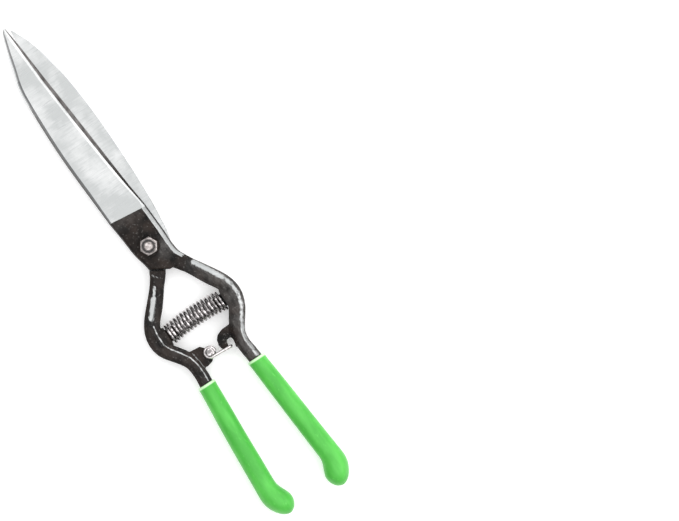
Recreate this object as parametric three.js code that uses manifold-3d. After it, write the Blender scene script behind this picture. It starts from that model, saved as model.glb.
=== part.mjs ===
// Hedge shears: two forged halves crossed on a pivot bolt, with sleeved handles, a return spring
// between the shanks and a wire bail latch. Millimetres, +Z up. The blades lie level and point
// along +Y. The origin is the middle of the pivot bolt head's flat outer face.
//
// Each half is built in its own half frame: the mating plane is z = 0, the outer face is +Z, the
// blade's spine is towards -X and the handle is towards +X. The front half only moves up to the
// mating plane. The rear half is also turned half a turn about Y.

import * as THREE from 'three';
import { mergeVertices } from 'three/addons/utils/BufferGeometryUtils.js';
import Module from 'manifold-3d';

const wasm = await Module();
wasm.setup();

// ---------------------------------------------------------------- driving sizes

// Blades and plates
const bladeReach = 157.5;         // pivot axis to the front blade's tip
const groundStart = 22.3;         // pivot axis to the line where the ground blade begins
const groundLineTilt = -0.11;     // slope of that line
const groundStep = 0.35;          // how far the ground face lies below the forged plate
const plateThickness = 4.2;       // each half at the pivot
const tipThickness = 2.2;         // each blade at its tip
const facingGap = 0.2;            // between the two mating faces
const edgeBevelWidth = 1.4;       // gentle ground bevel beside the cutting edge
const edgeBevelDepth = 0.65;
const edgeLand = 0.5;             // flat left on the cutting edge
const spineChamfer = 1.3;
const plateBevelWidth = 2.3;      // bevel along the plate's handle side
const plateBevelDepth = 1.3;
const sideDraft = 0.7;            // slope of the steep sides, measured across the blade
const edgeDraft = 2.2;            // slope of the cutting edge's side, halfway along the blade

// Shanks and tangs
const shankChamfer = 2.3;
const tangEndInset = 14;          // from the sleeve's closed end to the tang's end
const shoulderGap = 0.6;          // a plate's toe to the other half's shoulder, when closed
const fluteWidth = 2.6;           // shallow groove along the shank, on the mating side
const fluteDepth = 0.6;
const fluteOffset = 0.7;          // from the shank's centre line, outwards

// Pivot
const boltHeadHeight = 4.2;
const boltHeadFlats = 13;
const boltDiameter = 8;           // smooth part that the halves turn on
const boltThreadDiameter = 6;
const boltNeckSquare = 8;         // square neck, held in the rear half
const boltNeckLength = 2.6;
const washerDiameter = 13.4;
const washerThickness = 1.2;
const nutFlats = 10;
const nutTurn = THREE.MathUtils.degToRad(27);      // one flat's angle from +X
const nutHexHeight = 4.6;
const nutCollarHeight = 1.4;      // round collar that holds the locking ring
const lockRingDiameter = 8.1;
const boltEndStand = 0.8;         // thread standing out of the nut

// Return spring and its pegs
const springOuter = 13.4;
const springWire = 1.7;
const springTurns = 15.5;
const springEndX = 20;            // seat face, from the centre line
const springEndY = -51.5;
const springEndGap = 0.5;         // between an end turn and its seat
const springBow = 1.6;            // the middle of the closed spring stands this far towards the pivot
const seatDiameter = 12.4;
const pegLength = 6;
const pegDepth = 4;               // how deep each peg is set in its shank

// Latch
const latchPin = new THREE.Vector2(-4.5, -73.5);   // rivet axis
const bailReach = new THREE.Vector2(12.7, -3.8);   // rivet axis to the bail's cross bar, at rest
const bailWire = 2;
const bailBend = 1.6;             // bend radius at the cross bar, on the wire's axis
const rivetDiameter = 3.6;
const rivetHeadDiameter = 6;
const rivetHeadHeight = 1.2;
const latchPlateThickness = 4;    // lug and hook
const bailSideGap = 0.5;          // between the bail's wires and the lug and hook
const latchSwing = THREE.MathUtils.degToRad(14.5);  // from rest to seated in the hook's notch
const notchClearance = 0.4;
const notchFreeTravel = 1.3;      // how far the handles can be squeezed with the bail in the hook

// Grip sleeves
const sleeveLength = 93;
const sleeveTopWall = 1.5;        // vinyl above and below the tang
const rearSleeveMouth = -88;
const frontSleeveMouth = -91.3;

// Fits
const boreFit = 0.25;             // radial, around pins and bolts
const sleeveFit = 0.3;            // between a tang and its sleeve

// Heights that follow
const shankHeight = 2 * plateThickness + facingGap;
const midZ = boltHeadHeight + plateThickness + facingGap / 2;
const sleeveHalfHeight = shankHeight / 2 + sleeveFit + sleeveTopWall;
const knobHalfHeight = midZ;      // the knobs and the bolt head rest on one plane
const frontOuterZ = midZ + facingGap / 2 + plateThickness;
const bladeLength = bladeReach - groundStart;
const roundSides = 28;

// ---------------------------------------------------------------- outlines of the two halves

// Blade rows: share of the ground length, spine, cutting edge (half frame).
const frontBladeRows = [
  [0, -12.6, 11.9], [0.13, -13.5, 10], [0.27, -14.5, 8.4], [0.39, -15, 7.1], [0.5, -14.9, 5.8],
  [0.62, -14.4, 4.4], [0.71, -13.6, 3.2], [0.765, -12.2, 2.6], [0.82, -10, 2], [0.91, -6.8, 1],
  [0.97, -4, 0.1], [0.99, -2.6, -0.2], [1, -0.9, -0.4],
];
const rearBladeRows = [
  [0, -16.3, 10.2], [0.13, -17, 8], [0.27, -17.1, 6.4], [0.39, -16.9, 5.1], [0.5, -16.3, 3.8],
  [0.62, -15, 2.4], [0.69, -13.8, 1.4], [0.74, -12.4, 0.8], [0.82, -10.3, -0.2], [0.9, -7, -0.9],
  [0.95, -3.9, -1.4], [0.968, -2.8, -1.5], [0.978, -1.9, -1.6],
];

// Plate rows below the ground line: distance from the pivot axis, spine side, handle side.
// The first two corners on the spine side are the toe that faces the other half's shoulder.
const frontPlateRows = [
  [-18.5, 3, 16.4], [-12, -8, 13.6], [-8, -8.6, 13], [-4, -9.6, 12.8], [2, -10.7, 12.8],
  [10, -11.3, 12.5], [17, -12, 12.2], [groundStart, -12.6, 11.9],
];
const rearPlateRows = [
  [-18.5, 2, 11.3], [-12, -9.5, 8], [-8, -11.2, 8.4], [-4, -12.6, 9], [2, -14.2, 10.1],
  [10, -15.2, 10.7], [17, -15.9, 11.2], [groundStart, -16.3, 10.2],
];

// Shank rows: centre x, centre y, width (half frame), from inside the plate to the sleeve.
const frontShankRows = [
  [6, -9, 10], [9.6, -16, 10.4], [13.7, -22.6, 9.3], [17.4, -29, 9.9], [21.2, -35.6, 10.4],
  [24.8, -41.8, 10.2], [26.7, -47.5, 10], [26.7, -53, 10], [24.2, -59.6, 10.1], [19.4, -66.6, 9.8],
  [16.1, -73, 8.8], [15.3, -80, 8.5], [15.9, -86, 8.7],
];
const rearShankRows = [
  [1, -10, 9], [4.5, -16.4, 9.6], [9.1, -22.4, 8.7], [13.7, -28.1, 9.3], [18.5, -33.5, 9.9],
  [23.4, -38.9, 9.7], [26.6, -44.5, 10], [27.7, -50.5, 10.4], [26.9, -56.5, 10], [24, -61.4, 9.5],
  [19.9, -66.9, 9.4], [17, -72.8, 8.8], [16.4, -79, 8.3], [16.4, -84, 8.4],
];

// Sleeve rows: share of the length before the knob, centre x (half frame), half width.
const knobLength = 21.3;
const frontSleeveRows = [[0, 16.5, 5.6], [0.25, 18, 6], [0.5, 19.4, 6.2], [0.75, 20.8, 6.4], [1, 22.3, 6.6]];
const rearSleeveRows = [[0, 16.9, 5.6], [0.25, 18, 6], [0.5, 19.3, 6.2], [0.75, 20.2, 6.4], [1, 21.2, 6.5]];
// Knob rows: distance before the end, inner side's swell, outer side's swell, share of full height.
const knobRows = [
  [18, -0.5, 0.1, 0.35], [15, -2.2, 0, 0.75], [11.3, -4.1, -0.7, 1], [8.3, -4.8, -2.1, 1],
  [5.3, -4.4, -3.9, 0.9], [2.6, -3.1, -6.3, 0.68], [0.9, -1.3, -8.7, 0.42], [0, 1, -11.2, 0.12],
];

// ---------------------------------------------------------------- helpers

const at = (x, y, z) => new THREE.Vector3(x, y, z);

function closedGeometry(points, faces) {
  const geometry = new THREE.BufferGeometry();
  geometry.setAttribute('position', new THREE.Float32BufferAttribute(points.flatMap((p) => [p.x, p.y, p.z]), 3));
  let volume = 0;
  for (let i = 0; i < faces.length; i += 3) {
    const [a, b, c] = [points[faces[i]], points[faces[i + 1]], points[faces[i + 2]]];
    volume += a.dot(b.clone().cross(c));
  }
  geometry.setIndex(volume < 0 ? [...faces].reverse() : faces);
  return geometry;
}

// A closed solid through rings of points. The rings are convex and have equal counts.
function loft(rings) {
  const sides = rings[0].length;
  const last = (rings.length - 1) * sides;
  const faces = [];
  for (let start = 0; start < last; start += sides) {
    for (let s = 0; s < sides; s++) {
      const [a, b] = [start + s, start + (s + 1) % sides];
      faces.push(a, b, b + sides, a, b + sides, a + sides);
    }
  }
  for (let s = 1; s + 1 < sides; s++) faces.push(0, s + 1, s, last, last + s, last + s + 1);
  return closedGeometry(rings.flat(), faces);
}

// Rows between the given ones, on a smooth curve through them.
function smoothRows(rows, steps) {
  const row = (i) => rows[Math.min(Math.max(i, 0), rows.length - 1)];
  const blend = (a, b, c, d, t) => b + 0.5 * t * (c - a + t * (2 * a - 5 * b + 4 * c - d + t * (3 * (b - c) + d - a)));
  const between = [];
  for (let i = 0; i + 1 < rows.length; i++) {
    for (let k = 0; k < steps; k++) {
      between.push(row(i).map((value, column) => blend(
        row(i - 1)[column], value, row(i + 1)[column], row(i + 2)[column], k / steps)));
    }
  }
  return [...between, rows.at(-1)];
}

function solidOf(geometry) {
  const bare = geometry.clone();
  bare.deleteAttribute('normal');
  bare.deleteAttribute('uv');
  const merged = mergeVertices(bare, 1e-5);
  return new wasm.Manifold(new wasm.Mesh({
    numProp: 3,
    vertProperties: new Float32Array(merged.attributes.position.array),
    triVerts: new Uint32Array(merged.index.array),
  }));
}

function geometryOf(solid) {
  const { vertProperties, triVerts } = solid.getMesh();
  const geometry = new THREE.BufferGeometry();
  geometry.setAttribute('position', new THREE.BufferAttribute(new Float32Array(vertProperties), 3));
  geometry.setIndex(new THREE.BufferAttribute(new Uint32Array(triVerts), 1));
  geometry.computeVertexNormals();
  return geometry;
}

function prism(points, bottom, top) {
  const geometry = new THREE.ExtrudeGeometry(new THREE.Shape(points), { depth: top - bottom, bevelEnabled: false });
  return geometry.translate(0, 0, bottom);
}

// A round solid on the Z axis from [radius, height] pairs, first and last on the axis.
function turned(profile, sides = roundSides) {
  return new THREE.LatheGeometry(profile.map(([r, z]) => new THREE.Vector2(r, z)), sides).rotateX(Math.PI / 2);
}

function pin(radius, bottom, top, sides = roundSides) {
  return turned([[0, bottom], [radius, bottom], [radius, top], [0, top]], sides);
}

// A ring on the Z axis, its section as a closed profile.
function ring(inner, outer, bottom, top) {
  return turned([[inner, bottom], [outer, bottom], [outer, top], [inner, top], [inner, bottom]]);
}

// Two flats face +X and -X.
function hexagon(flats) {
  const corner = flats / Math.sqrt(3);
  return [...Array(6).keys()].map((i) => {
    const angle = Math.PI / 6 + (i * Math.PI) / 3;
    return new THREE.Vector2(corner * Math.cos(angle), corner * Math.sin(angle));
  });
}

// ---------------------------------------------------------------- forged halves

// One cross-section of plate or blade: mating face, steep spine side, chamfer, outer face, gentle
// bevel and steep edge side. Near the tip its details shrink with the width.
function bladeRing(y, spine, edge, thickness, bevelWidth, bevelDepth, edgeSlope = sideDraft) {
  const width = edge - spine;
  const bevel = Math.min(bevelWidth, 0.28 * width);
  const chamfer = Math.min(spineChamfer, 0.2 * width);
  const draft = Math.min(sideDraft, 0.14 * width);
  const slope = Math.min(edgeSlope, 0.14 * width);
  const bottom = facingGap / 2;
  const top = bottom + thickness;
  const depth = bevelDepth * (bevel / bevelWidth);
  return [
    at(edge, y, bottom), at(edge, y, bottom + edgeLand), at(edge - slope, y, top - depth),
    at(edge - slope - bevel, y, top), at(spine + draft + chamfer, y, top),
    at(spine + draft, y, top - 0.6 * chamfer), at(spine, y, bottom + edgeLand), at(spine, y, bottom),
  ];
}

function plateAndBlade(plateRows, bladeRows) {
  const plate = [plateRows[0], ...smoothRows(plateRows.slice(1), 3)]
    .map(([y, spine, edge]) => bladeRing(y, spine, edge, plateThickness, plateBevelWidth, plateBevelDepth));
  const blade = smoothRows(bladeRows, 4).map(([share, spine, edge]) => {
    const thickness = plateThickness + (tipThickness - plateThickness) * share;
    const y = groundStart + share * bladeLength;
    const edgeSlope = sideDraft + (edgeDraft - sideDraft) * Math.sin(Math.PI * share);
    return bladeRing(y, spine, edge, thickness, edgeBevelWidth, edgeBevelDepth, edgeSlope);
  });
  // The plate's last section is also the blade's first, so the cutting bevel runs out there.
  return solidOf(loft([...plate, ...blade.slice(1)]));
}

// Takes the ground face down from the ground line to where the blade is thinner than that.
function groundCut() {
  const slab = new THREE.BoxGeometry(80, bladeLength + 40, plateThickness)
    .translate(0, (bladeLength + 40) / 2, facingGap / 2 + plateThickness * 1.5 - groundStep)
    .rotateZ(Math.atan(groundLineTilt))
    .translate(0, groundStart, 0);
  return solidOf(slab);
}

// Eight-sided bar through rows of centre and width. A grown bar is the bore that it fits in.
function bar(rows, height, grow = 0) {
  const centres = rows.map(([x, y]) => new THREE.Vector2(x, y));
  const rings = rows.map(([x, y, width], i) => {
    const ahead = centres[Math.min(i + 1, rows.length - 1)].clone();
    const along = ahead.sub(centres[Math.max(i - 1, 0)]).normalize();
    const half = width / 2 + grow;
    const flat = half - shankChamfer;
    const [high, low] = [height / 2 + grow, height / 2 + grow - shankChamfer * 0.75];
    return [[half, -low], [half, low], [flat, high], [-flat, high], [-half, low], [-half, -low], [-flat, -high], [flat, -high]]
      .map(([across, z]) => at(x - along.y * across, y + along.x * across, z));
  });
  return loft(rings);
}

// Tang rows follow the sleeve's centre line, from under its mouth to near its end.
function tangRows(sleeve) {
  const bodyLength = sleeveLength - knobLength;
  const stretch = (sleeveLength - tangEndInset) / bodyLength;
  return [0.04, 0.3, 0.6, 0.9, 1].map((share) => {
    const reach = share * Math.min(stretch, 1);
    const [, x, half] = rowAt(sleeve.rows, reach);
    return [x, sleeve.mouth - reach * bodyLength, 2 * (half - sleeve.wall)];
  });
}

function rowAt(rows, share) {
  const next = Math.max(1, rows.findIndex((row) => row[0] >= share));
  const [a, b] = [rows[next - 1], rows[next]];
  const t = (share - a[0]) / (b[0] - a[0]);
  return a.map((value, column) => value + (b[column] - value) * t);
}

// Everything on the pivot's side of the other half's toe, below this half's mating face.
function lapCut(otherPlateRows) {
  const [[lowY, lowX], [highY, highX]] = otherPlateRows;
  const inner = new THREE.Vector2(-lowX, lowY);
  const outer = new THREE.Vector2(-highX, highY);
  const along = outer.clone().sub(inner).normalize();
  const away = new THREE.Vector2(along.y, -along.x);
  const reach = 60;
  const edge = [inner, outer].map((p) => p.clone().addScaledVector(away, shoulderGap));
  const ends = [edge[0].clone().addScaledVector(along, -reach), edge[1].clone().addScaledVector(along, reach)];
  const back = ends.map((p) => p.clone().addScaledVector(away, -reach)).reverse();
  return solidOf(prism([...ends, ...back], -shankHeight, facingGap / 2));
}

// A shallow round-ended groove that follows the shank's upper stretch.
function flute(shankRows) {
  const path = smoothRows(shankRows.slice(2, 6), 3).map(([x, y]) => new THREE.Vector2(x, y));
  const [left, right] = [[], []];
  path.forEach((point, i) => {
    const ahead = path[Math.min(i + 1, path.length - 1)].clone();
    const along = ahead.sub(path[Math.max(i - 1, 0)]).normalize();
    const outward = new THREE.Vector2(-along.y, along.x);
    const end = i === 0 || i === path.length - 1;
    const half = (end ? 0.35 : 0.5) * fluteWidth;
    left.push(point.clone().addScaledVector(outward, fluteOffset + half));
    right.push(point.clone().addScaledVector(outward, fluteOffset - half));
  });
  return solidOf(prism([...left, ...right.reverse()], -shankHeight, fluteDepth - shankHeight / 2));
}

function springSeat() {
  const seat = pin(seatDiameter / 2, springEndX, springEndX + pegDepth + 3).rotateY(Math.PI / 2);
  return solidOf(seat.translate(0, springEndY, 0));
}

function pegBore() {
  const bore = pin(pegRadius() + boreFit, springEndX - 1, springEndX + pegDepth + boreFit).rotateY(Math.PI / 2);
  return solidOf(bore.translate(0, springEndY, 0));
}

function pegRadius() {
  return springOuter / 2 - springWire - boreFit - 0.6;
}

function forging(plateRows, bladeRows, otherPlateRows, shankRows, sleeve, latchPiece) {
  const shank = solidOf(bar(smoothRows([...shankRows, ...tangRows(sleeve)], 2), shankHeight));
  const blank = plateAndBlade(plateRows, bladeRows).subtract(groundCut());
  const body = blank.add(shank.subtract(lapCut(otherPlateRows)).subtract(flute(shankRows)));
  return body.add(springSeat()).subtract(pegBore()).add(latchPiece);
}

// ---------------------------------------------------------------- latch

const bailRadius = bailReach.length();
const eyeRadius = (rivetDiameter + bailWire) / 2 + boreFit;
const bailOffset = latchPlateThickness / 2 + bailSideGap + bailWire / 2;

// The hook's notch is cut on arcs about the rivet, so the cross bar swings straight into it. It
// leaves the bar the free travel on the handle's side.
function hook() {
  const aboutRivet = (radius, angle) => new THREE.Vector2(
    latchPin.x + radius * Math.cos(angle), latchPin.y + radius * Math.sin(angle));
  const clear = bailWire / 2 + notchClearance;
  const mouth = Math.atan2(bailReach.y, bailReach.x);
  const seated = mouth + latchSwing;
  const crown = seated + (0.87 * clear) / bailRadius;
  const [low, high] = [bailRadius - clear, bailRadius + clear + notchFreeTravel];
  const shares = [0, 0.25, 0.5, 0.75, 1];
  const notch = [
    ...shares.map((share) => aboutRivet(low, mouth + 0.06 + (latchSwing - 0.06) * share)),
    aboutRivet(low + clear / 2, crown), aboutRivet(high - clear / 2, crown),
    ...shares.map((share) => aboutRivet(high, seated - (latchSwing + 0.1) * share)),
  ];
  const back = [[14, -78], [18, -72], [18, -65.6], [9, -65.8], [5, -67.3], [3, -69.6], [2.1, -73], [2.6, -75.6], [4.2, -77]]
    .map(([x, y]) => new THREE.Vector2(x, y));
  return solidOf(prism([...notch, ...back], -latchPlateThickness / 2, latchPlateThickness / 2));
}

// The lug is drawn in the rear half's frame, where the rivet is on the +X side.
function lug() {
  const pinX = -latchPin.x;
  const nose = [...Array(9).keys()].map((i) => {
    const angle = THREE.MathUtils.degToRad(75 + (i * 190) / 8);
    return new THREE.Vector2(pinX + 3.5 * Math.cos(angle), latchPin.y + 3.5 * Math.sin(angle));
  });
  const root = [[6.5, -79], [10, -79.8], [14.5, -79.6], [19, -73], [19, -66], [14, -66.6], [8, -67.2]]
    .map(([x, y]) => new THREE.Vector2(x, y));
  const plate = solidOf(prism([...nose, ...root], -latchPlateThickness / 2, latchPlateThickness / 2));
  return plate.subtract(solidOf(rivetBore().translate(pinX, latchPin.y, 0)));
}

function rivetBore() {
  return pin(rivetDiameter / 2 + boreFit, -latchPlateThickness, latchPlateThickness);
}

function latchRivet() {
  const [shaft, head] = [rivetDiameter / 2, rivetHeadDiameter / 2];
  const shoulder = bailOffset + bailWire / 2 + 0.2;
  const top = shoulder + rivetHeadHeight;
  const dome = [[head, shoulder], [head * 0.93, shoulder + 0.5 * rivetHeadHeight], [head * 0.6, top - 0.1], [0, top]];
  const lower = [...dome].reverse().map(([r, z]) => [r, -z]);
  return turned([...lower, [shaft, -shoulder], [shaft, shoulder], ...dome]);
}

// Wire path: upper eye, upper leg, cross bar, lower leg, lower eye.
function bailPath() {
  const legAngle = Math.atan2(bailReach.y + eyeRadius, bailReach.x);
  const [along, side] = [at(Math.cos(legAngle), Math.sin(legAngle), 0), legAngle - Math.PI / 2];
  const legStart = at(eyeRadius * Math.cos(side), eyeRadius * Math.sin(side), bailOffset);
  const legEnd = legStart.clone().addScaledVector(along, bailReach.x / Math.cos(legAngle) - eyeRadius * Math.sin(legAngle));
  const eyeSweep = 1.58 * Math.PI;
  const upper = [...Array(17).keys()].map((i) => {
    const angle = side - eyeSweep * (1 - i / 16);
    return at(eyeRadius * Math.cos(angle), eyeRadius * Math.sin(angle), bailOffset);
  });
  upper.push(legStart.clone().lerp(legEnd, 0.4));
  for (let i = 0; i <= 5; i++) {
    const turn = (i * Math.PI) / 10;
    upper.push(legEnd.clone().addScaledVector(along, bailBend * (Math.sin(turn) - 1))
      .add(at(0, 0, bailBend * (Math.cos(turn) - 1))));
  }
  const lower = upper.map((p) => at(p.x, p.y, -p.z)).reverse();
  return [...upper, ...lower].map((p) => p.add(at(latchPin.x, latchPin.y, 0)));
}

// A round wire along a path, each section square to the path.
function wire(path, radius, sides) {
  const tangents = path.map((_, i) => path[Math.min(i + 1, path.length - 1)].clone()
    .sub(path[Math.max(i - 1, 0)]).normalize());
  let across = at(0, 0, 1).cross(tangents[0]).normalize();
  const rings = path.map((point, i) => {
    across = across.addScaledVector(tangents[i], -across.dot(tangents[i])).normalize().clone();
    const up = tangents[i].clone().cross(across);
    return [...Array(sides).keys()].map((s) => {
      const angle = (2 * Math.PI * s) / sides;
      return point.clone().addScaledVector(across, radius * Math.cos(angle)).addScaledVector(up, radius * Math.sin(angle));
    });
  });
  return loft(rings);
}

// ---------------------------------------------------------------- spring

// The first and last turns lie close together against the seats, the others are spread evenly.
function springPath() {
  const stepsPerTurn = 12;
  const radius = (springOuter - springWire) / 2;
  const endTurns = 1;
  const closePitch = springWire + 0.25;
  const half = springEndX - springWire / 2 - springEndGap;
  const openPitch = (2 * half - 2 * endTurns * closePitch) / (springTurns - 2 * endTurns);
  return [...Array(Math.round(springTurns * stepsPerTurn) + 1).keys()].map((i) => {
    const turn = i / stepsPerTurn;
    const early = Math.min(turn, endTurns);
    const late = Math.max(turn - (springTurns - endTurns), 0);
    const x = -half + (early + late) * closePitch + (turn - early - late) * openPitch;
    const bow = springBow * (1 - (x / springEndX) ** 2);
    const angle = 2 * Math.PI * turn;
    return at(x, springEndY + bow + radius * Math.cos(angle), midZ + radius * Math.sin(angle));
  });
}

function springPeg(side) {
  const [tip, root] = [springEndX - pegLength, springEndX + pegDepth];
  const radius = pegRadius();
  const peg = turned([[0, tip], [radius - 1, tip], [radius, tip + 1], [radius, root], [0, root]]).rotateY(Math.PI / 2);
  return peg.rotateZ(side > 0 ? 0 : Math.PI).translate(0, springEndY, midZ);
}

// ---------------------------------------------------------------- sleeves

function sleeveOuterRows({ rows, mouth }) {
  const bodyLength = sleeveLength - knobLength;
  const body = smoothRows(rows, 3).map(([share, x, half]) => [mouth - share * bodyLength, x, half, sleeveHalfHeight]);
  const [, endX, endHalf] = rows.at(-1);
  const drift = (endX - rows.at(-2)[1]) / (bodyLength * (1 - rows.at(-2)[0]));
  const fullHeight = knobHalfHeight - sleeveHalfHeight;
  const knob = knobRows.map(([before, inner, outer, height]) => {
    const past = knobLength - before;
    const [low, high] = [endX - endHalf + inner + drift * past, endX + endHalf + outer + drift * past];
    const level = before > 11 ? sleeveHalfHeight + fullHeight * height : knobHalfHeight * height;
    return [mouth - sleeveLength + before, (low + high) / 2, (high - low) / 2, level];
  });
  return [...body, ...smoothRows(knob, 2)];
}

function sleeve(spec, shankRows) {
  const outer = sleeveOuterRows(spec).map(([y, x, half, height]) => [...Array(24).keys()].map((i) => {
    const angle = (2 * Math.PI * i) / 24;
    return at(x + half * Math.cos(angle), y, height * Math.sin(angle));
  }));
  const rows = smoothRows([...shankRows, ...tangRows(spec)], 2);
  const [endX, endY, endWidth] = rows.at(-1);
  const [beforeX, beforeY] = rows.at(-2);
  const past = new THREE.Vector2(endX - beforeX, endY - beforeY).setLength(sleeveFit);
  const bore = bar([...rows.slice(-12, -1), [endX + past.x, endY + past.y, endWidth]], shankHeight, sleeveFit);
  return solidOf(loft(outer)).subtract(solidOf(bore));
}

// ---------------------------------------------------------------- pivot

function chamferedHex(flats, bottom, top, lowCut, highCut) {
  const corner = flats / Math.sqrt(3);
  const face = flats * 0.475;
  const drop = 0.55 * (corner - face);
  const limit = turned([
    [0, bottom], [lowCut ? face : corner + 1, bottom], [corner + 0.1, bottom + (lowCut ? drop : 0)],
    [corner + 0.1, top - (highCut ? drop : 0)], [highCut ? face : corner + 1, top], [0, top],
  ], 48);
  return solidOf(prism(hexagon(flats), bottom, top)).intersect(solidOf(limit));
}

function pivotBolt() {
  const end = nutTop() + boltEndStand;
  const shoulderTop = frontOuterZ - 0.4;
  const [smooth, thread] = [boltDiameter / 2, boltThreadDiameter / 2];
  const shaft = turned([
    [0, boltHeadHeight - 1], [smooth, boltHeadHeight - 1], [smooth, shoulderTop], [thread, shoulderTop + 0.2],
    [thread, end - 0.7], [thread - 0.7, end], [0, end],
  ]);
  const neck = new THREE.BoxGeometry(boltNeckSquare, boltNeckSquare, boltNeckLength)
    .translate(0, 0, boltHeadHeight + boltNeckLength / 2 - 0.01);
  return chamferedHex(boltHeadFlats, 0, boltHeadHeight, true, false).add(solidOf(shaft)).add(solidOf(neck));
}

function nutTop() {
  return frontOuterZ + washerThickness + nutHexHeight + nutCollarHeight;
}

function pivotNut() {
  const bottom = frontOuterZ + washerThickness;
  const hexTop = bottom + nutHexHeight;
  const collar = nutFlats / 2 - 0.4;
  const hex = chamferedHex(nutFlats, bottom, hexTop, true, true);
  const round = solidOf(turned([
    [0, hexTop - 0.6], [collar, hexTop - 0.6], [collar, nutTop() - 0.5], [collar - 0.5, nutTop()], [0, nutTop()],
  ]));
  const bore = solidOf(pin(boltThreadDiameter / 2 + boreFit, bottom - 1, nutTop() + 1));
  const pocket = solidOf(pin(lockRingDiameter / 2, hexTop - 0.4, nutTop() + 1));
  return solidOf(geometryOf(hex.add(round).subtract(bore).subtract(pocket)).rotateZ(nutTurn));
}

function boltBores(half) {
  const round = solidOf(pin(boltDiameter / 2 + boreFit, -shankHeight, shankHeight));
  if (half === 'front') return round;
  const square = new THREE.BoxGeometry(boltNeckSquare + 2 * boreFit, boltNeckSquare + 2 * boreFit, boltNeckLength + boreFit)
    .translate(0, 0, shankHeight / 2 - (boltNeckLength + boreFit) / 2 + 0.01);
  return round.add(solidOf(square));
}

// ---------------------------------------------------------------- finishes

const finish = (color, roughness, metalness) => new THREE.MeshStandardMaterial({ color, roughness, metalness });
const groundSteel = finish(0xc9ced1, 0.3, 1);
const blackSteel = finish(0x1b191b, 0.45, 0.9);
const greenVinyl = finish(0x4ec94a, 0.4, 0);
const plainSteel = finish(0xbfb4b4, 0.35, 1);
const springSteel = finish(0x141414, 0.3, 0.9);
const whiteNylon = finish(0x6f6a6c, 0.6, 0);

// ---------------------------------------------------------------- assembly

const shears = new THREE.Group();

function addPiece(parent, name, shape, material) {
  const geometry = shape instanceof THREE.BufferGeometry ? shape : geometryOf(shape);
  const piece = new THREE.Mesh(geometry, material);
  piece.name = name;
  parent.add(piece);
}

const frontSleeve = { rows: frontSleeveRows, mouth: frontSleeveMouth, wall: 1.35 };
const rearSleeve = { rows: rearSleeveRows, mouth: rearSleeveMouth, wall: 1.35 };

const frontHalf = new THREE.Group();
frontHalf.position.z = midZ;
const frontForging = forging(frontPlateRows, frontBladeRows, rearPlateRows, frontShankRows, frontSleeve, hook());
addPiece(frontHalf, 'front_forging', frontForging.subtract(boltBores('front')), groundSteel);
addPiece(frontHalf, 'front_grip_sleeve', sleeve(frontSleeve, frontShankRows), greenVinyl);

const rearHalf = new THREE.Group();
rearHalf.position.z = midZ;
rearHalf.rotation.y = Math.PI;
const rearForging = forging(rearPlateRows, rearBladeRows, frontPlateRows, rearShankRows, rearSleeve, lug());
addPiece(rearHalf, 'rear_forging', rearForging.subtract(boltBores('rear')), blackSteel);
addPiece(rearHalf, 'rear_grip_sleeve', sleeve(rearSleeve, rearShankRows), greenVinyl);

const lockRing = ring(boltThreadDiameter / 2 + 0.1, lockRingDiameter / 2 - 0.05,
  frontOuterZ + washerThickness + nutHexHeight - 0.35, nutTop() - 0.3);
addPiece(shears, 'pivot_bolt', pivotBolt(), plainSteel);
addPiece(shears, 'pivot_nut', pivotNut(), plainSteel);
addPiece(shears, 'nut_lock_ring', lockRing, whiteNylon);
addPiece(shears, 'nut_washer', ring(boltThreadDiameter / 2 + boreFit, washerDiameter / 2, frontOuterZ,
  frontOuterZ + washerThickness), plainSteel);
addPiece(shears, 'return_spring', wire(springPath(), springWire / 2, 6), springSteel);
addPiece(shears, 'front_spring_peg', springPeg(1), plainSteel);
addPiece(shears, 'rear_spring_peg', springPeg(-1), plainSteel);

const latch = new THREE.Group();
latch.position.z = midZ;
addPiece(latch, 'latch_rivet', latchRivet().translate(latchPin.x, latchPin.y, 0), plainSteel);
addPiece(latch, 'latch_bail', wire(bailPath(), bailWire / 2, 10), plainSteel);

shears.add(frontHalf, rearHalf, latch);

export default shears;
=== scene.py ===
"""Finished look of the hedge shears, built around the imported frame.

Lengths in constants and dataclasses are millimetres, made metres where a mesh is made. The
blades point along +Y, the nut faces +Z and the closed shears lie on the floor at z = 0.
"""

from __future__ import annotations

import logging
import math
from dataclasses import dataclass, replace
from enum import Enum

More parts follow.
